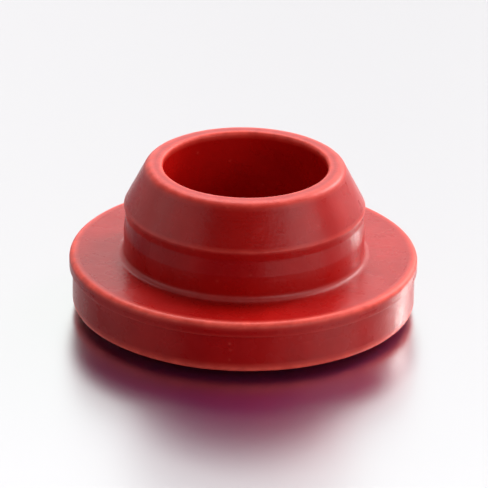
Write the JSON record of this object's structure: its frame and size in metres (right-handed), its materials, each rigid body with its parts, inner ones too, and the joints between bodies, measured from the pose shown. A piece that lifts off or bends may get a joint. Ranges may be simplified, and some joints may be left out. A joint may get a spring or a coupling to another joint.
{
  "type": "rubber stopper",
  "caption": "Moulded red rubber vial stopper: a flange with target rings on its crown face, and a hollow tapered plug with a sealing bead.",
  "frame": {"origin": "on the axis, at the crest of the two target rings that the stopper rests on, crown face down", "axes": "+Z along the plug, from the crown face to the mouth of the recess; turned about Z, so X and Y are alike"},
  "size_m": [0.0188, 0.0188, 0.0084],
  "materials": {
    "moulded_rubber": "satin moulded red butyl rubber"
  },
  "bodies": {
    "root": {"stopper": "moulded_rubber"}
  },
  "joints": []
}
